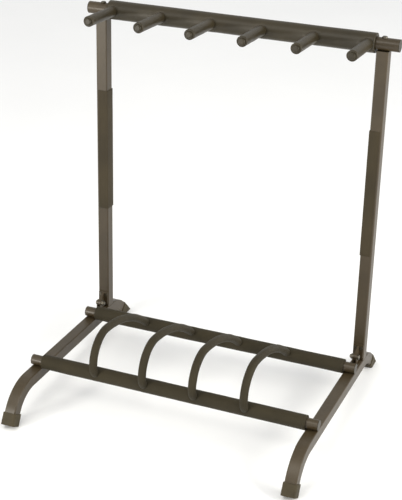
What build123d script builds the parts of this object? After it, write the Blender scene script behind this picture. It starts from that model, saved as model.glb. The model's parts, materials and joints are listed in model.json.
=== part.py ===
from build123d import *
from math import asin, cos, pi, radians, sin, sqrt
import os

# Folding multi-guitar rack. Millimetres, +Z up, +Y to the rear, origin on the floor in the middle.
# The frame is square in its own "rig" axes, and the rig leans back by lean degrees: its places are
# given across (world X), rearwards along the leg tops from the front bar, and up from the leg tops.

# Overall sizes
upright_x = 306.0        # from the middle to each leg and upright centre
bar_spacing = 250.0      # front bar axis to rear bar axis
upright_y = 322.0        # front bar axis to upright centre
upright_length = 684.0
deck_height = 78.0       # leg top above the floor at the front bar
lean = 2.8               # degrees

# Tubes
square = 25.0            # legs and uprights
square_wall = 1.5
square_corner = 2.5
top_tube_r = 12.7
bar_tube_r = 11.0
tube_wall = 1.5
top_tube_half = 337.0
bar_tube_half = 317.5

# Leg bends
bend_r = 80.0
front_bend_y = -44.0
rear_bend_y = 330.0
front_bend = 62.0        # degrees
rear_bend = 46.0

# Rubber foot caps
front_cap_wall = 2.5
rear_cap_wall = 1.3
cap_sole = 4.0
front_cap_grip = 22.0
rear_cap_grip = 13.0
heel_flat = 2.0          # how deep the front heel is cut flat by the floor
cap_play = 0.1

# Foam
top_foam_r = 20.0
top_foam_half = 290.0
bar_foam_r = 15.5
bar_foam_half = 293.0
foam_play = 0.1
pad_thick = 1.2
pad_wrap = 21.0
pad_corner = 1.0
pad_bottom = 246.0
pad_length = 274.0

# Pegs
peg_count = 6
peg_pitch = 111.0
peg_reach = 126.0        # top bar axis to the end of the rod
peg_tilt = 2.0           # degrees up from square to the uprights
peg_rod_r = 6.0
peg_rod_wall = 1.2
peg_foam_r = 11.0
peg_cap_flange = 1.2
peg_cap_r = 7.5
peg_cap_height = 3.0

# Dividers
divider_count = 4
divider_rod_r = 4.0
divider_foam_r = 8.5
loop_r = 60.0            # bend over the front bar
loop_ahead = 19.0        # how far the rod bulges in front of the bar's axis
loop_centre_up = 26.5    # above the bars' axes
back_turn = 4.0          # degrees past the top where the long arc to the rear bar takes over

# Plugs in the round tubes
plug_flange = 1.5
plug_depth = 14.0
plug_gap = 1.0           # between a plug's stem and the nut or bolt that it stops short of

# Hinges
pivot_ahead = 19.5       # pivot in front of the upright's front face
pivot_up = 17.0
pivot_bolt_r = 3.0
pivot_play = 0.08
ear_thick = 2.0
ear_r = 7.5
tongue_thick = 5.0       # the lug's tongue between the bracket's ears
ear_gap = 0.2            # between the tongue and each ear
plate_thick = 2.5
lug_plate_half = 11.0
lug_plate_bottom = 6.0
lug_plate_top = 38.0
lug_screw_x = 7.0        # to each side of the tongue
lug_screw_up = 31.0
bracket_front = 25.0     # bracket plate in front of the pivot
bracket_back = 13.0
bracket_screw_ahead = 17.0
bracket_half = 8.5
rest_gap = 0.2           # upright's foot above the leg, and other faces that part when it folds

# Fasteners
bolt_r = 3.0
hole_play = 0.1
dome_r = 5.8
dome_height = 3.2
nut_across = 10.0
nut_height = 4.0
small_screw_r = 2.0
small_head_r = 3.2
small_head_height = 1.8
insert_depth = 22.0
washer_r = 6.2
washer_thick = 0.8

tilt_sin = sin(radians(lean))
tilt_cos = cos(radians(lean))
half = square / 2
front_cap_half = half + front_cap_wall
rear_cap_half = half + rear_cap_wall


def world_y(y, up):
    return y * tilt_cos + up * tilt_sin


def world_up(y, up):
    return deck_height - y * tilt_sin + up * tilt_cos


def on_arc(centre, radius, angle):
    """Point at an angle in radians from straight up, turning to the rear."""
    return (centre[0] + radius * sin(angle), centre[1] + radius * cos(angle))


def along(start, direction, distance):
    return tuple(p + distance * d for p, d in zip(start, direction))


# Leg centreline: straight, front bend, flat top, rear bend, straight.
# Each straight is as long as it takes for the foot to reach the floor.
front_a = radians(front_bend)
rear_a = radians(rear_bend)
front_centre = (front_bend_y, -half - bend_r)
rear_centre = (rear_bend_y, -half - bend_r)
front_bend_end = on_arc(front_centre, bend_r, -front_a)
rear_bend_end = on_arc(rear_centre, bend_r, rear_a)
front_dir = (-cos(front_a), -sin(front_a))
front_out = (-sin(front_a), cos(front_a))
rear_dir = (cos(rear_a), -sin(rear_a))
rear_out = (sin(rear_a), cos(rear_a))
heel = along(along(front_bend_end, front_out, -front_cap_half), front_dir, cap_sole)
front_straight = (world_up(*heel) + heel_flat) / sin(front_a - radians(lean))
low_corner = along(rear_bend_end, rear_out, -half)
rear_straight = (world_up(*low_corner) - cap_sole) / sin(rear_a + radians(lean))
front_end = along(front_bend_end, front_dir, front_straight)
rear_end = along(rear_bend_end, rear_dir, rear_straight)

# The origin is midway between the front foot's toe and the rear foot's back edge on the floor
toe = along(along(front_end, front_dir, cap_sole), front_out, front_cap_half)
back_edge = along(rear_end, rear_out, rear_cap_half)
back_edge = along(back_edge, rear_dir, world_up(*back_edge) / sin(rear_a + radians(lean)))
rig_y = -(world_y(*toe) + world_y(*back_edge)) / 2

rig = Plane(origin=(0, rig_y, deck_height), x_dir=(1, 0, 0), z_dir=(0, tilt_sin, tilt_cos))
top_bar_up = rest_gap + upright_length + top_tube_r
bar_up = bar_tube_r
upright_front = upright_y - half
pivot_y = upright_front - pivot_ahead
peg_xs = [(i - (peg_count - 1) / 2) * peg_pitch for i in range(peg_count)]
divider_xs = [(i - (divider_count - 1) / 2) * peg_pitch for i in range(divider_count)]
sides = {"left": -1, "right": 1}
bars = {"front": 0.0, "rear": bar_spacing}


def spot(x, y, up):
    """World point of a place given across, rearwards and up in the rig."""
    return rig.from_local_coords(Vector(x, y, up))


def side_plane(x):
    """Plane across the rack at x: local x runs to the rear, local y runs up the rig."""
    return Plane(origin=spot(x, 0, 0), x_dir=rig.y_dir, z_dir=rig.x_dir)


def level_plane(up, y=0.0, x=0.0):
    """Plane parallel to the leg tops: local x across, local y to the rear."""
    return Plane(origin=spot(x, y, up), x_dir=rig.x_dir, z_dir=rig.z_dir)


def front_plane(y):
    """Plane facing the front: local x across, local y up the rig."""
    return Plane(origin=spot(0, y, 0), x_dir=rig.x_dir, z_dir=-rig.y_dir)


def peg_plane(x, reach):
    """Plane square to the peg at x, this far from the top bar's axis, facing its tip."""
    out = rig.z_dir * sin(radians(peg_tilt)) - rig.y_dir * cos(radians(peg_tilt))
    return Plane(origin=spot(x, upright_y, top_bar_up) + out * reach, x_dir=rig.x_dir, z_dir=out)


def finish(builder, name):
    builder.part.label = name
    export_step(builder.part, f"parts/{name}.step")


def end_plane(x, end, direction):
    """Plane square to a leg's end, its normal pointing out of the tube."""
    across = spot(x, *end)
    out = rig.y_dir * direction[0] + rig.z_dir * direction[1]
    return Plane(origin=across, x_dir=rig.x_dir, z_dir=out)


def leg_body(x, size, corner):
    """Solid rounded square of one size along the leg's centreline at x."""
    with BuildPart() as body:
        with BuildLine(side_plane(x)) as route:
            Line(front_end, front_bend_end)
            ThreePointArc(front_bend_end, on_arc(front_centre, bend_r, -front_a / 2),
                          (front_bend_y, -half))
            Line((front_bend_y, -half), (rear_bend_y, -half))
            ThreePointArc((rear_bend_y, -half), on_arc(rear_centre, bend_r, rear_a / 2),
                          rear_bend_end)
            Line(rear_bend_end, rear_end)
        with BuildSketch(end_plane(x, front_end, front_dir)):
            RectangleRounded(size, size, corner)
        sweep(path=route.wires()[0])
    return body.part


os.makedirs("parts", exist_ok=True)

for side, sign in sides.items():
    leg_x = sign * upright_x
    with BuildPart() as leg:
        add(leg_body(leg_x, square, square_corner))
        add(leg_body(leg_x, square - 2 * square_wall, square_corner - square_wall / 2),
            mode=Mode.SUBTRACT)
        # bolt holes up into the two bars
        with BuildSketch(level_plane(-square - 1, 0, leg_x)):
            with Locations(*[(0, y) for y in bars.values()]):
                Circle(bolt_r + hole_play)
        extrude(amount=square + 2, mode=Mode.SUBTRACT)
        # bracket screw hole in the top wall
        with BuildSketch(level_plane(1, pivot_y - bracket_screw_ahead, leg_x)):
            Circle(small_screw_r + hole_play)
        extrude(amount=-square_wall - 2, mode=Mode.SUBTRACT)
    finish(leg, f"{side}_leg")

    for foot, end, direction, wall, grip, past in (
        ("front", front_end, front_dir, front_cap_wall, front_cap_grip, cap_sole),
        ("rear", rear_end, rear_dir, rear_cap_wall, rear_cap_grip, 2 * square),
    ):
        with BuildPart() as cap:
            mouth = end_plane(leg_x, end, direction).offset(-grip)
            with BuildSketch(mouth):
                RectangleRounded(square + 2 * wall, square + 2 * wall, square_corner + wall)
            extrude(amount=grip + past)
            with BuildSketch(mouth):
                RectangleRounded(square + 2 * cap_play, square + 2 * cap_play, square_corner)
            extrude(amount=grip, mode=Mode.SUBTRACT)
            split(bisect_by=Plane.XY, keep=Keep.TOP)
        finish(cap, f"{side}_{foot}_foot")

# Lower bars: steel tube, foam sleeve and the fixings
for bar, bar_y in bars.items():
    with BuildPart() as bar_tube:
        with BuildSketch(side_plane(0)):
            with Locations((bar_y, bar_up)):
                Circle(bar_tube_r)
                Circle(bar_tube_r - tube_wall, mode=Mode.SUBTRACT)
        extrude(amount=bar_tube_half, both=True)
        with BuildSketch(level_plane(-1, bar_y)):
            with Locations(*[(sign * upright_x, 0) for sign in sides.values()]):
                Circle(bolt_r + hole_play)
        extrude(amount=bar_tube_r, mode=Mode.SUBTRACT)
    finish(bar_tube, f"{bar}_bar_tube")

# Dividers: a bent rod from bar to bar in a foam sleeve. Three arcs that run into each other:
# up and forwards off the front bar, over the top, and down to the rear bar.
turn = radians(back_turn)
rod_start = (0.0, bar_up)
rod_end = (bar_spacing, bar_up)
loop_centre = (loop_r - loop_ahead, bar_up + loop_centre_up)
loop_front = on_arc(loop_centre, loop_r, -pi / 2)
hand_over = on_arc(loop_centre, loop_r, turn)


def arc_radius(start, normal_angle, end):
    """Radius of the arc that leaves start square to normal_angle and reaches end."""
    normal = (sin(normal_angle), cos(normal_angle))
    step = (end[0] - start[0], end[1] - start[1])
    return -(step[0] ** 2 + step[1] ** 2) / (2 * (step[0] * normal[0] + step[1] * normal[1]))


foot_r = arc_radius(loop_front, -pi / 2, rod_start)
foot_centre = (loop_front[0] + foot_r, loop_front[1])
foot_a = -pi / 2 - asin((loop_front[1] - rod_start[1]) / foot_r)
back_r = arc_radius(hand_over, turn, rod_end)
back_centre = on_arc(hand_over, back_r, turn + pi)
back_a = asin((bar_spacing - back_centre[0]) / back_r)


def divider_body(x, radius):
    """Solid of one radius along the divider's centreline at x."""
    with BuildPart() as body:
        with BuildLine(side_plane(x)) as route:
            ThreePointArc(rod_start, on_arc(foot_centre, foot_r, (foot_a - pi / 2) / 2), loop_front)
            ThreePointArc(loop_front, on_arc(loop_centre, loop_r, (turn - pi / 2) / 2), hand_over)
            ThreePointArc(hand_over, on_arc(back_centre, back_r, (turn + back_a) / 2), rod_end)
        out = rig.y_dir * cos(foot_a) - rig.z_dir * sin(foot_a)
        with BuildSketch(Plane(origin=spot(x, *rod_start), x_dir=rig.x_dir, z_dir=out)):
            Circle(radius)
        sweep(path=route.wires()[0])
    return body.part


def bar_body(radius, bar_y, up, length_half):
    """Solid round bar across the rack, used to cut what ends on it."""
    with BuildPart() as body:
        with BuildSketch(side_plane(0)):
            with Locations((bar_y, up)):
                Circle(radius)
        extrude(amount=length_half, both=True)
    return body.part


bar_cores = [bar_body(bar_tube_r, y, bar_up, bar_foam_half) for y in bars.values()]
bar_outsides = [bar_body(bar_foam_r + foam_play, y, bar_up, bar_foam_half) for y in bars.values()]
divider_bores = [divider_body(x, divider_rod_r + foam_play) for x in divider_xs]

for number, x in enumerate(divider_xs, start=1):
    with BuildPart() as divider_rod:
        add(divider_body(x, divider_rod_r))
        add(bar_cores, mode=Mode.SUBTRACT)
    finish(divider_rod, f"divider_rod_{number}")

    with BuildPart() as divider_foam:
        add(divider_body(x, divider_foam_r))
        add(divider_bores[number - 1], mode=Mode.SUBTRACT)
        add(bar_outsides, mode=Mode.SUBTRACT)
    finish(divider_foam, f"divider_foam_{number}")

for bar, bar_y in bars.items():
    with BuildPart() as bar_foam:
        with BuildSketch(side_plane(0)):
            with Locations((bar_y, bar_up)):
                Circle(bar_foam_r)
                Circle(bar_tube_r + foam_play, mode=Mode.SUBTRACT)
        extrude(amount=bar_foam_half, both=True)
        add(divider_bores, mode=Mode.SUBTRACT)
    finish(bar_foam, f"{bar}_bar_foam")

# Top bar: tube across the upright tops, foam between them
with BuildPart() as top_tube:
    with BuildSketch(side_plane(0)):
        with Locations((upright_y, top_bar_up)):
            Circle(top_tube_r)
            Circle(top_tube_r - tube_wall, mode=Mode.SUBTRACT)
    extrude(amount=top_tube_half, both=True)
    with BuildSketch(level_plane(top_bar_up - top_tube_r - 1, upright_y)):
        with Locations(*[(sign * upright_x, 0) for sign in sides.values()]):
            Circle(bolt_r + hole_play)
    extrude(amount=2 * top_tube_r + 2, mode=Mode.SUBTRACT)
    # peg holes through the front wall
    for x in peg_xs:
        with BuildSketch(peg_plane(x, 0)):
            Circle(peg_rod_r + hole_play)
        extrude(amount=top_tube_r + 1, mode=Mode.SUBTRACT)
finish(top_tube, "top_bar_tube")

with BuildPart() as top_foam:
    with BuildSketch(side_plane(0)):
        with Locations((upright_y, top_bar_up)):
            Circle(top_foam_r)
            Circle(top_tube_r + foam_play, mode=Mode.SUBTRACT)
    extrude(amount=top_foam_half, both=True)
    for x in peg_xs:
        with BuildSketch(peg_plane(x, 0)):
            Circle(peg_rod_r + foam_play)
        extrude(amount=top_foam_r + 1, mode=Mode.SUBTRACT)
finish(top_foam, "top_bar_foam")

# Pegs: steel tube through the bar's front wall, foam sleeve, domed end cap
peg_root = top_tube_r - tube_wall - 2.0
top_outside = bar_body(top_foam_r + foam_play, upright_y, top_bar_up, top_foam_half)
for number, x in enumerate(peg_xs, start=1):
    with BuildPart() as peg_rod:
        with BuildSketch(peg_plane(x, peg_root)):
            Circle(peg_rod_r)
            Circle(peg_rod_r - peg_rod_wall, mode=Mode.SUBTRACT)
        extrude(amount=peg_reach - peg_root)
    finish(peg_rod, f"peg_rod_{number}")

    with BuildPart() as peg_foam:
        with BuildSketch(peg_plane(x, 0)):
            Circle(peg_foam_r)
            Circle(peg_rod_r + foam_play, mode=Mode.SUBTRACT)
        extrude(amount=peg_reach)
        add(top_outside, mode=Mode.SUBTRACT)
    finish(peg_foam, f"peg_foam_{number}")

    with BuildPart() as peg_cap:
        end = peg_plane(x, peg_reach)
        with BuildSketch(end):
            Circle(peg_cap_r)
        extrude(amount=peg_cap_flange + peg_cap_height)
        tip = peg_cap.faces().sort_by(Axis(end.origin, end.z_dir))[-1]
        fillet(tip.edges(), radius=peg_cap_height)
        with BuildSketch(end):
            Circle(peg_rod_r - peg_rod_wall - hole_play)
        extrude(amount=-plug_depth)
    finish(peg_cap, f"peg_cap_{number}")

# Plugs that close the six round tube ends. Each stem stops short of the nut or bolt in its tube.
nut_corner = nut_across / sqrt(3)
plugs = (
    ("front_bar", 0.0, bar_up, bar_tube_r, bar_tube_half),
    ("rear_bar", bar_spacing, bar_up, bar_tube_r, bar_tube_half),
    ("top_bar", upright_y, top_bar_up, top_tube_r, top_tube_half),
)
for bar, plug_y, plug_up, outer, tube_half in plugs:
    with BuildPart() as plug:
        for sign in sides.values():
            with BuildSketch(side_plane(sign * tube_half)):
                with Locations((plug_y, plug_up)):
                    Circle(outer)
            extrude(amount=sign * plug_flange)
            with BuildSketch(side_plane(sign * tube_half)):
                with Locations((plug_y, plug_up)):
                    Circle(outer - tube_wall - hole_play)
            extrude(amount=-sign * min(plug_depth, tube_half - upright_x - nut_corner - plug_gap))
    finish(plug, f"{bar}_end_plugs")

# Uprights with their side pads, top inserts and bolts
for side, sign in sides.items():
    x = sign * upright_x
    with BuildPart() as upright:
        with BuildSketch(level_plane(rest_gap, upright_y, x)):
            RectangleRounded(square, square, square_corner)
            RectangleRounded(square - 2 * square_wall, square - 2 * square_wall,
                             square_corner - square_wall / 2, mode=Mode.SUBTRACT)
        extrude(amount=upright_length)
        with BuildSketch(front_plane(upright_front - 1)):
            with Locations(*[(x + hand * lug_screw_x, lug_screw_up) for hand in (-1, 1)]):
                Circle(small_screw_r + hole_play)
        extrude(amount=-square_wall - 2, mode=Mode.SUBTRACT)
    finish(upright, f"{side}_upright")

    # channel pad: over the inner face, with its two flanges on the front and back faces
    with BuildPart() as pad:
        with BuildSketch(level_plane(pad_bottom, upright_y, x)):
            with Locations((-sign * (half + pad_thick - (pad_wrap + pad_thick) / 2), 0)):
                RectangleRounded(pad_wrap + pad_thick, square + 2 * pad_thick + 2 * foam_play,
                                 pad_corner)
            Rectangle(square + 2 * foam_play, square + 2 * foam_play, mode=Mode.SUBTRACT)
        extrude(amount=pad_length)
    finish(pad, f"{side}_side_pad")

with BuildPart() as inserts:
    for sign in sides.values():
        with BuildSketch(level_plane(rest_gap + upright_length, upright_y, sign * upright_x)):
            inside = square - 2 * square_wall - 2 * hole_play
            RectangleRounded(inside, inside, square_corner - square_wall / 2)
            Circle(bolt_r + hole_play, mode=Mode.SUBTRACT)
        extrude(amount=-insert_depth)
finish(inserts, "upright_top_inserts")

with BuildPart() as top_bolts:
    for sign in sides.values():
        head_up = top_bar_up + top_tube_r
        with BuildSketch(level_plane(head_up, upright_y, sign * upright_x)):
            Circle(dome_r)
        extrude(amount=dome_height)
        with BuildSketch(level_plane(head_up, upright_y, sign * upright_x)):
            Circle(bolt_r)
        extrude(amount=-2 * top_tube_r - insert_depth + 2)
    crowns = top_bolts.faces().filter_by(GeomType.PLANE).group_by(Axis(spot(0, 0, 0), rig.z_dir))[-1]
    fillet(crowns.edges(), radius=dome_height * 0.9)
finish(top_bolts, "top_bar_bolts")

# Bolts up through the legs into rivet nuts in the lower bars
with BuildPart() as bar_bolts:
    for sign in sides.values():
        for bar_y in bars.values():
            with BuildSketch(level_plane(-square, bar_y, sign * upright_x)):
                Circle(dome_r)
            extrude(amount=-dome_height)
            with BuildSketch(level_plane(-square, bar_y, sign * upright_x)):
                Circle(bolt_r)
            extrude(amount=square + bar_tube_r + 2)
    heads = bar_bolts.faces().filter_by(GeomType.PLANE).group_by(Axis(spot(0, 0, 0), rig.z_dir))[0]
    fillet(heads.edges(), radius=dome_height * 0.9)
finish(bar_bolts, "bar_bolts")

with BuildPart() as bar_nuts:
    for sign in sides.values():
        for bar_y in bars.values():
            with BuildSketch(level_plane(3.0 + tube_wall, bar_y, sign * upright_x)):
                RegularPolygon(nut_across / 2, 6, major_radius=False)
                Circle(bolt_r + hole_play, mode=Mode.SUBTRACT)
            extrude(amount=nut_height)
finish(bar_nuts, "bar_nuts")

# Hinges: bracket on each leg, lug on each upright, bolt with a dome nut
ear_in = tongue_thick / 2 + ear_gap
ear_out = ear_in + ear_thick

for side, sign in sides.items():
    x = sign * upright_x
    with BuildPart() as bracket:
        with BuildSketch(level_plane(0, pivot_y, x)):
            with Locations((0, (bracket_back - bracket_front) / 2)):
                RectangleRounded(2 * bracket_half, bracket_front + bracket_back, 1.5)
        extrude(amount=plate_thick)
        for hand in (-1, 1):
            with BuildSketch(side_plane(x + hand * ear_in)):
                with Locations((pivot_y, pivot_up)):
                    Circle(ear_r)
                with Locations((pivot_y, pivot_up / 2)):
                    Rectangle(2 * ear_r, pivot_up)
                with Locations((pivot_y, pivot_up)):
                    Circle(pivot_bolt_r + pivot_play, mode=Mode.SUBTRACT)
            extrude(amount=hand * ear_thick)
        with BuildSketch(level_plane(-1, pivot_y - bracket_screw_ahead, x)):
            Circle(small_screw_r + hole_play)
        extrude(amount=plate_thick + 2, mode=Mode.SUBTRACT)
    finish(bracket, f"{side}_hinge_bracket")

    with BuildPart() as lug:
        with BuildSketch(front_plane(upright_front)):
            with Locations((x, (lug_plate_bottom + lug_plate_top) / 2)):
                RectangleRounded(2 * lug_plate_half, lug_plate_top - lug_plate_bottom, 2)
        extrude(amount=plate_thick)
        with BuildSketch(side_plane(x)):
            with BuildLine():
                Polyline((pivot_y, pivot_up - ear_r), (upright_front, pivot_up - ear_r),
                         (upright_front, lug_plate_top - 2), (pivot_y, pivot_up + ear_r),
                         close=True)
            make_face()
            with Locations((pivot_y, pivot_up)):
                Circle(ear_r)
                Circle(pivot_bolt_r + pivot_play, mode=Mode.SUBTRACT)
        extrude(amount=tongue_thick / 2, both=True)
        with BuildSketch(front_plane(upright_front + 1)):
            with Locations(*[(x + hand * lug_screw_x, lug_screw_up) for hand in (-1, 1)]):
                Circle(small_screw_r + hole_play)
        extrude(amount=plate_thick + 2, mode=Mode.SUBTRACT)
    finish(lug, f"{side}_hinge_lug")

    # head on the outer side, dome nut on the inner side
    with BuildPart() as pivot_bolt:
        with BuildSketch(side_plane(x + sign * (ear_out + washer_thick))):
            with Locations((pivot_y, pivot_up)):
                Circle(dome_r)
        extrude(amount=sign * dome_height)
        head = pivot_bolt.faces().sort_by(Axis((0, 0, 0), (sign, 0, 0)))[-1]
        fillet(head.edges(), radius=dome_height * 0.8)
        with BuildSketch(side_plane(x + sign * (ear_out + washer_thick))):
            with Locations((pivot_y, pivot_up)):
                Circle(pivot_bolt_r)
        extrude(amount=-sign * (2 * ear_out + 2 * washer_thick + nut_height - 1))
    finish(pivot_bolt, f"{side}_hinge_bolt")

    with BuildPart() as dome_nut:
        nut_x = x - sign * (ear_out + washer_thick)
        with BuildSketch(side_plane(nut_x)):
            with Locations((pivot_y, pivot_up)):
                RegularPolygon(nut_across / 2, 6, major_radius=False)
        extrude(amount=-sign * nut_height)
        with BuildSketch(side_plane(nut_x - sign * nut_height)):
            with Locations((pivot_y, pivot_up)):
                Circle(nut_across / 2 - 0.6)
        extrude(amount=-sign * dome_height)
        crown = dome_nut.faces().sort_by(Axis((0, 0, 0), (-sign, 0, 0)))[-1]
        fillet(crown.edges(), radius=dome_height * 0.9)
        with BuildSketch(side_plane(nut_x)):
            with Locations((pivot_y, pivot_up)):
                Circle(pivot_bolt_r + pivot_play)
        extrude(amount=-sign * (nut_height - 0.5), mode=Mode.SUBTRACT)
    finish(dome_nut, f"{side}_hinge_nut")

with BuildPart() as washers:
    for sign in sides.values():
        for hand in (-1, 1):
            with BuildSketch(side_plane(sign * upright_x + hand * ear_out)):
                with Locations((pivot_y, pivot_up)):
                    Circle(washer_r)
                    Circle(pivot_bolt_r + pivot_play, mode=Mode.SUBTRACT)
            extrude(amount=hand * washer_thick)
finish(washers, "hinge_washers")

with BuildPart() as lug_screws:
    for sign in sides.values():
        for hand in (-1, 1):
            with BuildSketch(front_plane(upright_front - plate_thick)):
                with Locations((sign * upright_x + hand * lug_screw_x, lug_screw_up)):
                    Circle(small_head_r)
            extrude(amount=small_head_height)
            with BuildSketch(front_plane(upright_front - plate_thick)):
                with Locations((sign * upright_x + hand * lug_screw_x, lug_screw_up)):
                    Circle(small_screw_r)
            extrude(amount=-plate_thick - square_wall - 3)
finish(lug_screws, "hinge_lug_screws")

with BuildPart() as bracket_screws:
    for sign in sides.values():
        with BuildSketch(level_plane(plate_thick, pivot_y - bracket_screw_ahead, sign * upright_x)):
            Circle(small_head_r)
        extrude(amount=small_head_height)
        with BuildSketch(level_plane(plate_thick, pivot_y - bracket_screw_ahead, sign * upright_x)):
            Circle(small_screw_r)
        extrude(amount=-plate_thick - square_wall - 4)
finish(bracket_screws, "hinge_bracket_screws")
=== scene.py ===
# %% [markdown]
# # A folding rack for five guitars
# The steel frame comes ready made from a CAD package, one mesh for each part. This lesson loads
# it as a fixed frame and then does the work that CAD leaves out: the soft foam sleeves and pads,
# and a finish for every surface. Lengths are in metres, Z is up and the rack's front faces -Y.

# %% Load the frame
import bmesh
import bpy
import json
import math
from mathutils import Matrix, Vector, noise


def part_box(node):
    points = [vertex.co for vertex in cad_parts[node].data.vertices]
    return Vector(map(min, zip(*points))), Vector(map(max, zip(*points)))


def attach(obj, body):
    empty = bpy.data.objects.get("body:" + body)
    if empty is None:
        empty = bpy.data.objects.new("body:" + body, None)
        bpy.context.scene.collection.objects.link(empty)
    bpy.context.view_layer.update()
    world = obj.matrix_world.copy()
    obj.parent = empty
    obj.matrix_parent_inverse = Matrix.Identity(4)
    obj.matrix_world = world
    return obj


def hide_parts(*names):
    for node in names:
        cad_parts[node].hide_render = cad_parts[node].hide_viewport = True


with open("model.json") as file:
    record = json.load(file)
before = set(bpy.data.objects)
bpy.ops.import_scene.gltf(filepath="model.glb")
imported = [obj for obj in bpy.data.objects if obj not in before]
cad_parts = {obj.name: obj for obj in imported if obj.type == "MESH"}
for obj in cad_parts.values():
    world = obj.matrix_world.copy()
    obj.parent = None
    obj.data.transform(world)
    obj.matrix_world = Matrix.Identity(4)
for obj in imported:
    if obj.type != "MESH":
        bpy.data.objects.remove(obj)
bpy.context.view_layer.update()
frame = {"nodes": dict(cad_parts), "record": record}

# %% [markdown]
# ## The rack's own directions
# The whole rack leans back a little, so "up" along an upright isn't quite world up. Both lower
# bars are round and lie on the legs, so the line between their centres gives the direction
# "back" along the legs. "Up" is square to that and to world X. Every soft piece below is placed
# with these two directions, so it follows the frame whatever its lean is.

# %% Centres and directions
def centre(node):
    low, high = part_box(node)
    return (low + high) / 2


def half_size(node):
    low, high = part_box(node)
    return (high - low) / 2


across = Vector((1, 0, 0))
front_axis = centre("front_bar_tube")
rear_axis = centre("rear_bar_tube")
top_axis = centre("top_bar_tube")
back = (rear_axis - front_axis).normalized()
up = across.cross(back)
bar_spacing = (rear_axis - front_axis).length
print("lean %.2f degrees, bars %.1f mm apart" % (math.degrees(math.asin(-back.z)), bar_spacing * 1000))

# %% [markdown]
# ## Camera
# The camera stands in front of the rack, to its right and above it, with a long lens. A long
# lens far away keeps the uprights nearly parallel. Its turn is built as three rotations: yaw
# about world Z, then pitch down, then a very small roll.

# %% Camera
camera_data = bpy.data.cameras.new("camera")
camera = bpy.data.objects.new("camera", camera_data)
bpy.context.scene.collection.objects.link(camera)
yaw, pitch, roll = 0.3998, -0.4705, 0.0009
camera.matrix_world = (Matrix.Translation((0.9355, -2.2235, 1.5669)) @ Matrix.Rotation(yaw, 4, "Z")
                       @ Matrix.Rotation(math.pi / 2 + pitch, 4, "X") @ Matrix.Rotation(roll, 4, "Z"))
camera_data.lens = 95.32
camera_data.shift_x = 0.0117
camera_data.shift_y = 0.0062
bpy.context.scene.camera = camera
print("camera at", tuple(round(v, 2) for v in camera.location), "lens", camera_data.lens)

# %% [markdown]
# ## Floor and light
# A pale sweep of floor runs back and curves up into a backdrop, so no horizon shows. It starts
# as one short edge row: the row is extruded back, then bent up in a few steps with spin.

# %% Floor and backdrop
def new_object(name, bm, body=None):
    """Turns a finished bmesh into an object at the origin, with smooth faces."""
    mesh = bpy.data.meshes.new(name)
    bm.normal_update()
    bm.to_mesh(mesh)
    bm.free()
    for face in mesh.polygons:
        face.use_smooth = True
    thing = bpy.data.objects.new(name, mesh)
    bpy.context.scene.collection.objects.link(thing)
    if body:
        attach(thing, body)
    return thing


half_width, front_edge, flat_length, bend = 6.0, -3.0, 7.0, 2.0
bm = bmesh.new()
ends = [bm.verts.new((x, front_edge, 0)) for x in (-half_width, half_width)]
edge = bm.edges.new(ends)
run = bmesh.ops.extrude_edge_only(bm, edges=[edge])
moved = [g for g in run["geom"] if isinstance(g, bmesh.types.BMVert)]
bmesh.ops.translate(bm, verts=moved, vec=(0, flat_length, 0))
last = [e for e in bm.edges if all(v in moved for v in e.verts)]
bmesh.ops.spin(bm, geom=last + moved, cent=(0, front_edge + flat_length, bend), axis=(1, 0, 0),
               angle=math.pi / 2, steps=16)
bmesh.ops.recalc_face_normals(bm, faces=bm.faces)
floor = new_object("studio_floor", bm)
print("floor faces:", len(floor.data.polygons))

# %% [markdown]
# The room is lit evenly by a pale sky, and three soft lamps give the steel and foam their shape:
# a strong one on the rack's right side, a small one in front on the left, at the height of the
# top bar, which draws a long highlight along that bar, and one from above for the top faces.
# All three share one warm tint, and the floor's paint is slightly blue, so that it looks white.

# %% Lamps and sky
def soft_lamp(name, place, target, size, power, tint):
    lamp = bpy.data.lights.new(name, "AREA")
    lamp.shape, lamp.size, lamp.energy, lamp.color = "DISK", size, power, tint
    holder = bpy.data.objects.new(name, lamp)
    bpy.context.scene.collection.objects.link(holder)
    aim = (Vector(target) - Vector(place)).to_track_quat("-Z", "Y")
    holder.matrix_world = Matrix.Translation(place) @ aim.to_matrix().to_4x4()


warm = (1.0, 0.955, 0.86)
soft_lamp("side_lamp", place=(3.0, -0.2, 1.3), target=(0, 0, 0.35), size=1.6, power=100, tint=warm)
soft_lamp("front_lamp", place=(-1.6, -2.5, 0.75), target=(0, 0, 0.6), size=0.6, power=50, tint=warm)
soft_lamp("top_lamp", place=(-0.8, -2.0, 3.0), target=(0, 0, 0.4), size=1.8, power=38, tint=warm)
sky = bpy.data.worlds.new("studio_sky")
bpy.context.scene.world = sky
sky.use_nodes = True
sky.node_tree.nodes["Background"].inputs["Color"].default_value = (1.0, 0.975, 0.93, 1)
sky.node_tree.nodes["Background"].inputs["Strength"].default_value = 0.9
bpy.context.scene.view_settings.view_transform = "Standard"

# %% [markdown]
# ## Finishes
# All the finishes share three small effects, so each is a node group: a fine grain, a wear mask
# that finds edges, and a mask of dust on faces that look up. A group only puts out values that
# change over the surface; the shader and its fixed numbers stay in each material.

# %% Helpers for node trees
def socket_in(tree, name, value, kind="NodeSocketFloat"):
    socket = tree.interface.new_socket(name, in_out="INPUT", socket_type=kind)
    socket.default_value = value


def socket_out(tree, name, kind="NodeSocketFloat"):
    tree.interface.new_socket(name, in_out="OUTPUT", socket_type=kind)


def add_node(tree, kind, where, **settings):
    node = tree.nodes.new(kind)
    node.location = where
    for key, value in settings.items():
        setattr(node, key, value)
    return node


def start_group(name, inputs, outputs):
    tree = bpy.data.node_groups.new(name, "ShaderNodeTree")
    for label, value in inputs:
        socket_in(tree, label, value)
    for label in outputs:
        socket_out(tree, label)
    return tree, add_node(tree, "NodeGroupInput", (-900, 0)), add_node(tree, "NodeGroupOutput", (600, 0))


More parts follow.
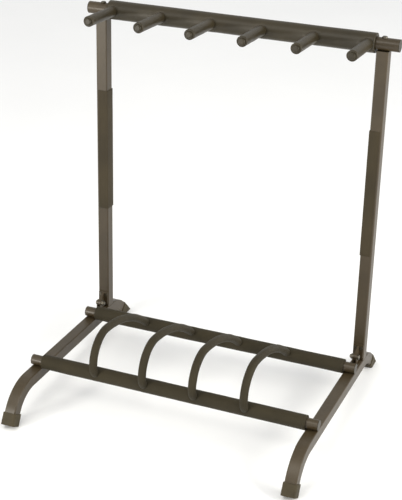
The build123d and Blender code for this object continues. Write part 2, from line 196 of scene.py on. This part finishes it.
def math_node(tree, operation, where, first, second, clamp=False):
    """A Math node whose inputs are sockets or plain numbers."""
    node = add_node(tree, "ShaderNodeMath", where, operation=operation, use_clamp=clamp)
    for slot, value in enumerate((first, second)):
        if isinstance(value, (int, float)):
            node.inputs[slot].default_value = value
        else:
            tree.links.new(value, node.inputs[slot])
    return node.outputs[0]


# %% [markdown]
# Grain is the sum of two noises: a fine one for the texture under a fingertip, and a broad one
# that makes the surface a little uneven from place to place. Both read Object coordinates.

# %% Grain group
grain, g_in, g_out = start_group("grain", [("Scale", 900.0), ("Broad Scale", 12.0), ("Fine Share", 0.7)],
                                 ["Height", "Fine", "Broad"])
coords = add_node(grain, "ShaderNodeTexCoord", (-900, 250))
fine = add_node(grain, "ShaderNodeTexNoise", (-600, 200))
fine.inputs["Detail"].default_value = 3
broad = add_node(grain, "ShaderNodeTexNoise", (-600, -150))
broad.inputs["Detail"].default_value = 4
for noise_node, scale in ((fine, "Scale"), (broad, "Broad Scale")):
    grain.links.new(coords.outputs["Object"], noise_node.inputs["Vector"])
    grain.links.new(g_in.outputs[scale], noise_node.inputs["Scale"])
fine_part = math_node(grain, "MULTIPLY", (-300, 200), fine.outputs["Fac"], g_in.outputs["Fine Share"])
rest = math_node(grain, "SUBTRACT", (-300, 0), 1.0, g_in.outputs["Fine Share"])
broad_part = math_node(grain, "MULTIPLY", (-300, -200), broad.outputs["Fac"], rest)
grain.links.new(math_node(grain, "ADD", (0, 0), fine_part, broad_part), g_out.inputs["Height"])
grain.links.new(fine.outputs["Fac"], g_out.inputs["Fine"])
grain.links.new(broad.outputs["Fac"], g_out.inputs["Broad"])
print("grain nodes:", len(grain.nodes))

# %% [markdown]
# Handling rubs a painted tube first at its edges. The Bevel node gives the normal that a rounded
# edge would have; where it differs from the true normal there is an edge. Noise breaks the mask
# up so that wear comes in patches.

# %% Edge wear group
edge_wear, w_in, w_out = start_group("edge_wear", [("Amount", 0.5), ("Patch Scale", 60.0)], ["Mask"])
rounded = add_node(edge_wear, "ShaderNodeBevel", (-900, 250), samples=4)
rounded.inputs["Radius"].default_value = 0.0012
true_face = add_node(edge_wear, "ShaderNodeNewGeometry", (-900, 450))
along_face = add_node(edge_wear, "ShaderNodeVectorMath", (-650, 300), operation="DOT_PRODUCT")
edge_wear.links.new(rounded.outputs["Normal"], along_face.inputs[0])
edge_wear.links.new(true_face.outputs["Normal"], along_face.inputs[1])
edge = math_node(edge_wear, "SUBTRACT", (-450, 300), 1.0, along_face.outputs["Value"])
edge = math_node(edge_wear, "MULTIPLY", (-250, 300), edge, 6.0, clamp=True)
coords = add_node(edge_wear, "ShaderNodeTexCoord", (-900, -150))
patches = add_node(edge_wear, "ShaderNodeTexNoise", (-650, -100))
patches.inputs["Detail"].default_value = 5
edge_wear.links.new(coords.outputs["Object"], patches.inputs["Vector"])
edge_wear.links.new(w_in.outputs["Patch Scale"], patches.inputs["Scale"])
patch = math_node(edge_wear, "SUBTRACT", (-450, -100), patches.outputs["Fac"], 0.42)
patch = math_node(edge_wear, "MULTIPLY", (-250, -100), patch, 5.0, clamp=True)
worn = math_node(edge_wear, "MULTIPLY", (0, 100), edge, patch)
edge_wear.links.new(math_node(edge_wear, "MULTIPLY", (250, 0), worn, w_in.outputs["Amount"]), w_out.inputs["Mask"])
print("edge wear nodes:", len(edge_wear.nodes))

# %% [markdown]
# Dust settles on whatever looks up. The object's own normal is used, so the dust stays where it
# fell when the rack is folded.

# %% Dust group
dust, d_in, d_out = start_group("dust", [("Amount", 0.15), ("Speck Scale", 140.0)], ["Mask"])
coords = add_node(dust, "ShaderNodeTexCoord", (-900, 150))
facing = add_node(dust, "ShaderNodeSeparateXYZ", (-650, 250))
dust.links.new(coords.outputs["Normal"], facing.inputs[0])
looks_up = math_node(dust, "SUBTRACT", (-450, 250), facing.outputs["Z"], 0.35)
looks_up = math_node(dust, "MULTIPLY", (-250, 250), looks_up, 1.5, clamp=True)
specks = add_node(dust, "ShaderNodeTexNoise", (-650, -50))
specks.inputs["Detail"].default_value = 6
dust.links.new(coords.outputs["Object"], specks.inputs["Vector"])
dust.links.new(d_in.outputs["Speck Scale"], specks.inputs["Scale"])
speck = math_node(dust, "SUBTRACT", (-450, -50), specks.outputs["Fac"], 0.35)
speck = math_node(dust, "MULTIPLY", (-250, -50), speck, 2.0, clamp=True)
lying = math_node(dust, "MULTIPLY", (0, 100), looks_up, speck)
dust.links.new(math_node(dust, "MULTIPLY", (250, 0), lying, d_in.outputs["Amount"]), d_out.inputs["Mask"])
print("dust nodes:", len(dust.nodes))

# %% [markdown]
# Every material here is the same recipe with its own values: two shades mixed by the broad
# noise, lifted towards a worn shade at edges and a pale shade where dust lies, with a roughness
# that follows the grain and a bump for the texture itself.

# %% The recipe
def use_group(tree, group, where, **values):
    node = add_node(tree, "ShaderNodeGroup", where, node_tree=group)
    for key, value in values.items():
        node.inputs[key.replace("_", " ").title()].default_value = value
    return node


def mix_colour(tree, where, factor, first, second):
    node = add_node(tree, "ShaderNodeMix", where, data_type="RGBA")
    colours = [s for s in node.inputs if s.type == "RGBA"]
    tree.links.new(factor, node.inputs[0])
    for socket, value in zip(colours, (first, second)):
        if isinstance(value, tuple):
            socket.default_value = (*value, 1)
        else:
            tree.links.new(value, socket)
    return [s for s in node.outputs if s.type == "RGBA"][0]


def spread(tree, where, source, low, high):
    node = add_node(tree, "ShaderNodeMapRange", where)
    tree.links.new(source, node.inputs["Value"])
    node.inputs["From Min"].default_value, node.inputs["From Max"].default_value = 0.3, 0.7
    node.inputs["To Min"].default_value, node.inputs["To Max"].default_value = low, high
    return node.outputs["Result"]


def finish_material(name, dark, light, worn, dusty, roughness, scale, bump, wear=0.5, dust_amount=0.12,
                    broad_scale=14.0, fine_share=0.7):
    """Returns the material, its tree, its shader and its Bump node, which the grain's height feeds."""
    material = bpy.data.materials.new(name)
    material.use_nodes = True
    tree = material.node_tree
    shader = tree.nodes["Principled BSDF"]
    texture = use_group(tree, grain, (-1100, 0), scale=scale, broad_scale=broad_scale, fine_share=fine_share)
    base = mix_colour(tree, (-700, 300), spread(tree, (-900, 300), texture.outputs["Broad"], 0.0, 1.0), dark, light)
    rubbed = use_group(tree, edge_wear, (-900, 550), amount=wear)
    base = mix_colour(tree, (-500, 300), rubbed.outputs["Mask"], base, worn)
    settled = use_group(tree, dust, (-700, 600), amount=dust_amount)
    base = mix_colour(tree, (-300, 300), settled.outputs["Mask"], base, dusty)
    tree.links.new(base, shader.inputs["Base Color"])
    tree.links.new(spread(tree, (-500, 0), texture.outputs["Height"], *roughness), shader.inputs["Roughness"])
    lift = add_node(tree, "ShaderNodeBump", (-300, -200))
    lift.inputs["Distance"].default_value = bump
    lift.inputs["Strength"].default_value = 1.0
    tree.links.new(texture.outputs["Height"], lift.inputs["Height"])
    tree.links.new(lift.outputs["Normal"], shader.inputs["Normal"])
    return material, tree, shader, lift


# %% [markdown]
# ### Powder coat
# The tubes and hinges are steel under black powder coat. Baked powder has a shallow orange peel
# of about a millimetre and a satin shine, and it wears to a lighter brown at the corners.

# %% Powder coat
powder_coat, tree, shader, lift = finish_material(
    "powder_coat", dark=(0.030, 0.0212, 0.0098), light=(0.043, 0.0305, 0.0150), worn=(0.1, 0.08, 0.05),
    dusty=(0.16, 0.14, 0.1), roughness=(0.30, 0.46), scale=750, bump=0.00012, wear=0.45, dust_amount=0.08)
shader.inputs["Specular IOR Level"].default_value = 0.38
print("powder coat ready")

# %% [markdown]
# ### Foam sleeve
# The sleeves are closed-cell rubber foam. Its skin is matt and full of tiny closed pores, so a
# Voronoi pattern of small cells is added to the grain's bump. A little sheen gives the soft
# bright rim that foam has at a glancing angle. The top bar and its pegs are a smoother grade,
# with a closed skin that hands have polished, so they shine more.

# %% Foam
def add_pores(tree, lift, scale, depth):
    """Puts a second bump of small round cells under a material's own bump."""
    coords = add_node(tree, "ShaderNodeTexCoord", (-1100, -500))
    cells = add_node(tree, "ShaderNodeTexVoronoi", (-900, -500))
    cells.inputs["Scale"].default_value = scale
    tree.links.new(coords.outputs["Object"], cells.inputs["Vector"])
    pores = add_node(tree, "ShaderNodeBump", (-600, -500))
    pores.inputs["Distance"].default_value = depth
    tree.links.new(cells.outputs["Distance"], pores.inputs["Height"])
    tree.links.new(pores.outputs["Normal"], lift.inputs["Normal"])
    return cells


foam, tree, shader, lift = finish_material(
    "foam_sleeve", dark=(0.019, 0.0152, 0.0070), light=(0.030, 0.0240, 0.0118), worn=(0.045, 0.037, 0.020),
    dusty=(0.09, 0.078, 0.052), roughness=(0.60, 0.76), scale=1100, bump=0.00018, wear=0.2, dust_amount=0.04)
add_pores(tree, lift, 900, 0.00045)
shader.inputs["Sheen Weight"].default_value = 0.02
shader.inputs["Sheen Roughness"].default_value = 0.5
shader.inputs["Specular IOR Level"].default_value = 0.2

smooth_foam, tree, shader, lift = finish_material(
    "smooth_foam", dark=(0.0185, 0.0142, 0.0060), light=(0.029, 0.0222, 0.0100), worn=(0.050, 0.041, 0.023),
    dusty=(0.12, 0.105, 0.075), roughness=(0.38, 0.52), scale=1300, bump=0.00010, wear=0.25, dust_amount=0.06)
add_pores(tree, lift, 1100, 0.00010)
shader.inputs["Specular IOR Level"].default_value = 0.34
print("foam and smooth foam ready")

# %% [markdown]
# ### Side pad, feet, plugs and fasteners
# The pads on the uprights are denser rubber with a finer skin. The feet are moulded rubber, dull
# and scuffed at their edges. Plugs and peg caps are plastic with a fine moulded stipple, and the
# bolts are steel with a dark zinc coat that has rubbed bright in places.

# %% Side pad
pad_rubber, tree, shader, lift = finish_material(
    "side_pad", dark=(0.024, 0.0182, 0.0088), light=(0.036, 0.0275, 0.0140), worn=(0.06, 0.05, 0.03),
    dusty=(0.12, 0.105, 0.075), roughness=(0.58, 0.72), scale=1400, bump=0.00012, wear=0.25, dust_amount=0.1)
add_pores(tree, lift, 1300, 0.00012)
shader.inputs["Specular IOR Level"].default_value = 0.22

# %% Foot rubber
foot_rubber, tree, shader, lift = finish_material(
    "foot_rubber", dark=(0.030, 0.0240, 0.0125), light=(0.046, 0.0370, 0.0205), worn=(0.11, 0.095, 0.07),
    dusty=(0.18, 0.16, 0.12), roughness=(0.60, 0.78), scale=1000, bump=0.00014, wear=0.55, dust_amount=0.18,
    broad_scale=40)
shader.inputs["Specular IOR Level"].default_value = 0.22

# %% Plug plastic
plug_plastic, tree, shader, lift = finish_material(
    "plug_plastic", dark=(0.017, 0.0133, 0.0066), light=(0.024, 0.019, 0.0096), worn=(0.09, 0.08, 0.055),
    dusty=(0.15, 0.135, 0.1), roughness=(0.34, 0.46), scale=1600, bump=0.00006, wear=0.35, dust_amount=0.1,
    broad_scale=60)
shader.inputs["Specular IOR Level"].default_value = 0.28

# %% Dark zinc
dark_zinc, tree, shader, lift = finish_material(
    "dark_zinc", dark=(0.055, 0.049, 0.036), light=(0.10, 0.09, 0.07), worn=(0.42, 0.40, 0.36),
    dusty=(0.20, 0.18, 0.14), roughness=(0.26, 0.42), scale=2200, bump=0.00003, wear=0.8, dust_amount=0.06,
    broad_scale=120)
shader.inputs["Metallic"].default_value = 0.85
print("materials:", [m.name for m in bpy.data.materials])

# %% [markdown]
# ## Finishing the frame
# Each CAD node names the finish it was given in its record. Here that name picks the material.

# %% Materials on the CAD nodes
by_slot = {"powder_coat": powder_coat, "foam_sleeve": foam, "side_pad": pad_rubber,
           "foot_rubber": foot_rubber, "plug_plastic": plug_plastic, "fastener_steel": dark_zinc}
node_slot = {part["node"]: part["material_slot"] for part in frame["record"]["subparts"]}
for node_name, thing in frame["nodes"].items():
    thing.data.materials.clear()
    thing.data.materials.append(by_slot[node_slot[node_name]])
print("finished nodes:", len(node_slot))

# %% Floor finish
pale = (0.85, 0.875, 0.915)
floor_paint, tree, shader, lift = finish_material(
    "floor_paint", dark=(0.82, 0.845, 0.885), light=pale, worn=pale, dusty=pale, roughness=(0.6, 0.75),
    scale=200, bump=0.00002, wear=0.0, dust_amount=0.0, broad_scale=1.5)
floor.data.materials.append(floor_paint)

# %% [markdown]
# ## Foam sleeves
# Every sleeve is a thick foam tube pushed over a steel one. Seen end on it is a ring, with its rims
# left square as a blade cuts them. A lathe is the natural tool: one long thin section is drawn
# above the tube's axis and spun a full turn. The outer side of the section gets many cuts, because
# the skin is pressed and pulled a little afterwards.

# %% Lathe a straight sleeve
def lathe_sleeve(start, end, inner, outer, cuts, around):
    """A straight sleeve as a bmesh, from start to end, with square rims."""
    axis = (end - start).normalized()
    side = up if abs(axis.dot(up)) < 0.5 else across
    side = (side - axis * side.dot(axis)).normalized()
    bm = bmesh.new()
    corners = [bm.verts.new(point + side * radius) for point, radius in
               ((start, inner), (end, inner), (end, outer), (start, outer))]
    edges = [bm.edges.new((corners[i], corners[(i + 1) % 4])) for i in range(4)]
    skin_edge = edges[2]
    bmesh.ops.subdivide_edges(bm, edges=[skin_edge], cuts=cuts)
    bmesh.ops.spin(bm, geom=bm.verts[:] + bm.edges[:], cent=start, axis=axis, angle=math.tau,
                   steps=around, use_merge=True)
    bmesh.ops.remove_doubles(bm, verts=bm.verts, dist=1e-6)
    bmesh.ops.recalc_face_normals(bm, faces=bm.faces)
    return bm


# %% [markdown]
# Foam is never quite true. Its wall varies by a few tenths of a millimetre, and where another
# sleeve butts against it the skin is pressed in, with a slight swelling round the dent.

# %% Give foam its small unevenness
def uneven(bm, start, axis, inner, amount=0.0004, size=22.0):
    """Moves the outer skin in and out by a slow noise."""
    for v in bm.verts:
        arm = v.co - start
        arm -= axis * arm.dot(axis)
        if arm.length > inner * 1.02:
            v.co += arm.normalized() * amount * noise.noise(v.co * size)


def press(bm, start, axis, point, direction, reach, depth, flat_end=0.85, swell_end=1.8):
    """Dents the skin round the line from point along direction, and swells it just outside.

    The dent is flat out to flat_end of its reach, and the swelling ends at swell_end of it.
    """
    for v in bm.verts:
        away = v.co - point
        if away.dot(direction) <= 0:
            continue
        ring = (away - direction * away.dot(direction)).length / reach
        if ring >= swell_end:
            continue
        if ring <= flat_end:
            push = -depth
        elif ring < 1:
            push = -depth * (1 - ring) / (1 - flat_end)
        else:
            push = depth * 0.5 * math.sin((ring - 1) / (swell_end - 1) * math.pi)
        arm = v.co - start
        arm -= axis * arm.dot(axis)
        v.co += arm.normalized() * push


def as_sleeve(name, bm, body, node, material):
    """Puts a soft piece on its body in place of its CAD node."""
    piece = new_object(name, bm, body)
    piece.data.materials.append(material)
    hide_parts(node)
    return piece


# %% [markdown]
# The two lower bars come first. Four dividers leave each of them, so their directions are worked
# out here. A divider is a rod bent in three arcs, in a plane square to the bars: a short one off
# the front bar, a round one over the top, and a long flat one down to the rear bar.

# %% The dividers' route
loop_radius, loop_ahead, loop_height, back_turn = 0.060, 0.019, 0.0265, math.radians(4)
divider_across = [centre("divider_rod_%d" % number).x for number in range(1, 5)]


def in_plane(x, rear, rise):
    return front_axis + across * (x - front_axis.x) + back * rear + up * rise


def arc_radius(rear, rise, turn, to_rear, to_rise):
    """Radius of the arc that leaves a point square to a turn and reaches a second point."""
    step = Vector((to_rear - rear, to_rise - rise))
    return -step.length_squared / (2 * step.dot(Vector((math.sin(turn), math.cos(turn)))))


loop_middle = (loop_radius - loop_ahead, loop_height)
over = (loop_middle[0] + loop_radius * math.sin(back_turn),
        loop_middle[1] + loop_radius * math.cos(back_turn))
foot_radius = arc_radius(-loop_ahead, loop_height, -math.pi / 2, 0, 0)
foot_middle = (foot_radius - loop_ahead, loop_height)
foot_turn = math.asin(loop_height / foot_radius)
back_radius = arc_radius(*over, back_turn, bar_spacing, 0)
back_middle = (over[0] - back_radius * math.sin(back_turn),
               over[1] - back_radius * math.cos(back_turn))
last_turn = math.asin((bar_spacing - back_middle[0]) / back_radius)
leave_front = up * math.cos(foot_turn) - back * math.sin(foot_turn)
arrive_rear = back * math.cos(last_turn) - up * math.sin(last_turn)
print("divider arcs, mm:", [round(radius * 1000, 1) for radius in (foot_radius, loop_radius, back_radius)])

# %% Lower bar sleeves
fit = 0.0001
bar_foam = half_size("front_bar_foam").z
bar_steel = half_size("front_bar_tube").z
for name, axis_point, direction in (("front", front_axis, leave_front), ("rear", rear_axis, -arrive_rear)):
    long = half_size(name + "_bar_foam").x
    start = axis_point - across * long
    bm = lathe_sleeve(start, axis_point + across * long, bar_steel + fit, bar_foam,
                      cuts=190, around=40)
    uneven(bm, start, across, bar_steel)
    for x in divider_across:
        press(bm, start, across, axis_point + across * (x - axis_point.x), direction,
              reach=0.0092, depth=0.0005)
    sleeve = as_sleeve(name + "_bar_sleeve", bm, "base", name + "_bar_foam", foam)
    print(sleeve.name, len(sleeve.data.polygons), "faces")

# %% [markdown]
# ### Divider sleeves
# The divider's sleeve follows the bent rod. Its section is a ring of faces, made from two circles
# and a bridge, and the three arcs are three spins, each one starting from the faces that the one
# before it left. The sleeve starts and stops short of the bars' axes, and the middle of each end
# is then slid along the rod, so that the whole end lies just under the skin of the bars' foam.

# %% Spin a sleeve along three arcs
divider_foam = 0.0085
divider_steel = 0.0041


def spin_on(bm, faces, x, middle, angle, step):
    """Spins the last faces about a point of the divider's plane and returns the new last faces."""
    geom = list({v for f in faces for v in f.verts} | {e for f in faces for e in f.edges}) + faces
    steps = max(2, round(abs(angle) / step))
    last = bmesh.ops.spin(bm, geom=geom, cent=in_plane(x, *middle), axis=across, angle=angle, steps=steps)
    return [g for g in last["geom_last"] if isinstance(g, bmesh.types.BMFace)]


def seat_on_bar(bm, axis_point, direction, radius, reach):
    """Slides the points within reach of a bar's axis along direction, out to a radius from it."""
    for v in bm.verts:
        arm = v.co - axis_point
        arm -= across * arm.dot(across)
        if arm.length < reach:
            along_rod = arm.dot(direction)
            beside = (arm - direction * along_rod).length
            v.co += direction * (math.sqrt(max(radius ** 2 - beside ** 2, 0)) - along_rod)


skip = 0.0125
sunk = 0.0006
for number, x in enumerate(divider_across, start=1):
    bm = bmesh.new()
    first_turn = 2 * math.asin(skip / (2 * foot_radius))
    begin = foot_turn - first_turn
    heading = up * math.cos(begin) - back * math.sin(begin)
    rear = foot_middle[0] - foot_radius * math.cos(begin)
    rise = foot_middle[1] - foot_radius * math.sin(begin)
    facing = heading.to_track_quat("Z", "Y").to_matrix().to_4x4()
    place = Matrix.Translation(in_plane(x, rear, rise)) @ facing
    rings = []
    for radius in (divider_foam, divider_steel):
        ring = bmesh.ops.create_circle(bm, segments=32, radius=radius, matrix=place)
        rings += list({e for v in ring["verts"] for e in v.link_edges})
    faces = bmesh.ops.bridge_loops(bm, edges=rings)["faces"]
    faces = spin_on(bm, faces, x, foot_middle, -begin, 0.003 / foot_radius)
    faces = spin_on(bm, faces, x, loop_middle, -(math.pi / 2 + back_turn), 0.0035 / loop_radius)
    end_turn = last_turn - 2 * math.asin(skip / (2 * back_radius))
    faces = spin_on(bm, faces, x, back_middle, -(end_turn - back_turn), 0.0045 / back_radius)
    bmesh.ops.remove_doubles(bm, verts=bm.verts, dist=1e-6)
    bmesh.ops.recalc_face_normals(bm, faces=bm.faces)
    for v in bm.verts:
        v.co += v.normal * 0.00025 * noise.noise(v.co * 40)
    here = across * (x - front_axis.x)
    seat_on_bar(bm, front_axis + here, leave_front, bar_foam - sunk, skip + 2 * sunk)
    seat_on_bar(bm, rear_axis + here, -arrive_rear, bar_foam - sunk, skip + 2 * sunk)
    sleeve = as_sleeve("divider_sleeve_%d" % number, bm, "base", "divider_foam_%d" % number, foam)
    print(sleeve.name, len(sleeve.data.polygons), "faces")

# %% [markdown]
# ### Top bar and peg sleeves
# The top bar carries the thickest sleeve, with six pegs pushed into its front. A peg's sleeve
# is cut square at its tip, and hollowed at its root to fit the round of the top sleeve.

# %% Top bar sleeve
top_foam = half_size("top_bar_foam").z
top_steel = half_size("top_bar_tube").z
peg_across = [centre("peg_rod_%d" % number).x for number in range(1, 7)]
peg_tilt = math.radians(2)
peg_out = up * math.sin(peg_tilt) - back * math.cos(peg_tilt)
long = half_size("top_bar_foam").x
start = top_axis - across * long
bm = lathe_sleeve(start, top_axis + across * long, top_steel + fit, top_foam,
                  cuts=190, around=56)
uneven(bm, start, across, top_steel, amount=0.0005, size=16.0)
for x in peg_across:
    press(bm, start, across, top_axis + across * (x - top_axis.x), peg_out, reach=0.0118, depth=0.0007)
sleeve = as_sleeve("top_bar_sleeve", bm, "upright_frame", "top_bar_foam", smooth_foam)
print(sleeve.name, len(sleeve.data.polygons), "faces")

# %% Peg sleeves
peg_foam, peg_steel = 0.011, 0.006
peg_reach, peg_skip = 0.126, 0.0135
root_zone, root_sunk = 0.0165, 0.0008
for number, x in enumerate(peg_across, start=1):
    root = top_axis + across * (x - top_axis.x)
    start = root + peg_out * peg_skip
    bm = lathe_sleeve(start, root + peg_out * peg_reach, peg_steel + fit, peg_foam,
                      cuts=34, around=32)
    uneven(bm, start, peg_out, peg_steel, amount=0.0003, size=60.0)
    for v in bm.verts:
        arm = v.co - root
        reach = arm.dot(peg_out)
        if reach < root_zone:
            beside = arm - peg_out * reach
            beside -= across * beside.dot(across)
            v.co += peg_out * (math.sqrt((top_foam - root_sunk) ** 2 - beside.length_squared) - reach)
    sleeve = as_sleeve("peg_sleeve_%d" % number, bm, "upright_frame", "peg_foam_%d" % number, smooth_foam)
print("peg sleeves:", len(peg_across), "with", len(sleeve.data.polygons), "faces each")

# %% [markdown]
# ### Side pads
# A thin rubber channel hugs each upright where instruments may knock it: it covers the inner face
# and wraps onto the front and back. It is drawn as its four corners seen from above, rounded,
# drawn up the tube in short steps, and given its thickness by solidify. The pad leans with the
# rack, so its real length and depth are worked out from its upright box first.

# %% Side pads
pad_skin, pad_corner, pad_rim = 0.0011, 0.0013, 0.0003
for name, post_side in (("left", -1), ("right", 1)):
    size = 2 * half_size(name + "_side_pad")
    middle = centre(name + "_side_pad")
    lean_factor = up.z ** 2 - up.y ** 2
    long = (size.z * up.z - size.y * up.y) / lean_factor
    deep = (size.y * up.z - size.z * up.y) / lean_factor
    near, far = -post_side * size.x / 2, post_side * size.x / 2
    bottom = middle - up * long / 2
    bm = bmesh.new()
    corners = [bm.verts.new(bottom + across * x + back * y) for x, y in
               ((far, -deep / 2), (near, -deep / 2), (near, deep / 2), (far, deep / 2))]
    for first, second in zip(corners, corners[1:]):
        bm.edges.new((first, second))
    bmesh.ops.bevel(bm, geom=corners[1:3], offset=pad_corner, segments=4, profile=0.5, affect="VERTICES",
                    offset_type="OFFSET", material=-1)
    row, steps = bm.edges[:], 60
    for step in range(steps):
        grown = bmesh.ops.extrude_edge_only(bm, edges=row)["geom"]
        bmesh.ops.translate(bm, verts=[g for g in grown if isinstance(g, bmesh.types.BMVert)],
                            vec=up * long / steps)
        row = [g for g in grown if isinstance(g, bmesh.types.BMEdge)]
    bmesh.ops.recalc_face_normals(bm, faces=bm.faces)
    if sum(f.normal.dot(f.calc_center_median() - middle) for f in bm.faces) < 0:
        bmesh.ops.reverse_faces(bm, faces=bm.faces)
    bmesh.ops.solidify(bm, geom=bm.faces[:], thickness=pad_skin)
    rims = [e for e in bm.edges if len(e.link_faces) == 2 and e.calc_face_angle() > 1.0]
    bmesh.ops.bevel(bm, geom=rims, offset=pad_rim, segments=2, profile=0.5, affect="EDGES",
                    offset_type="OFFSET", material=-1)
    bmesh.ops.recalc_face_normals(bm, faces=bm.faces)
    for v in bm.verts:
        arm = v.co - middle
        arm -= up * arm.dot(up)
        v.co += arm.normalized() * 0.00012 * noise.noise(v.co * 35)
    pad = as_sleeve(name + "_side_pad_cover", bm, "upright_frame", name + "_side_pad", pad_rubber)
    print(pad.name, "%.0f mm long," % (long * 1000), len(pad.data.polygons), "faces")
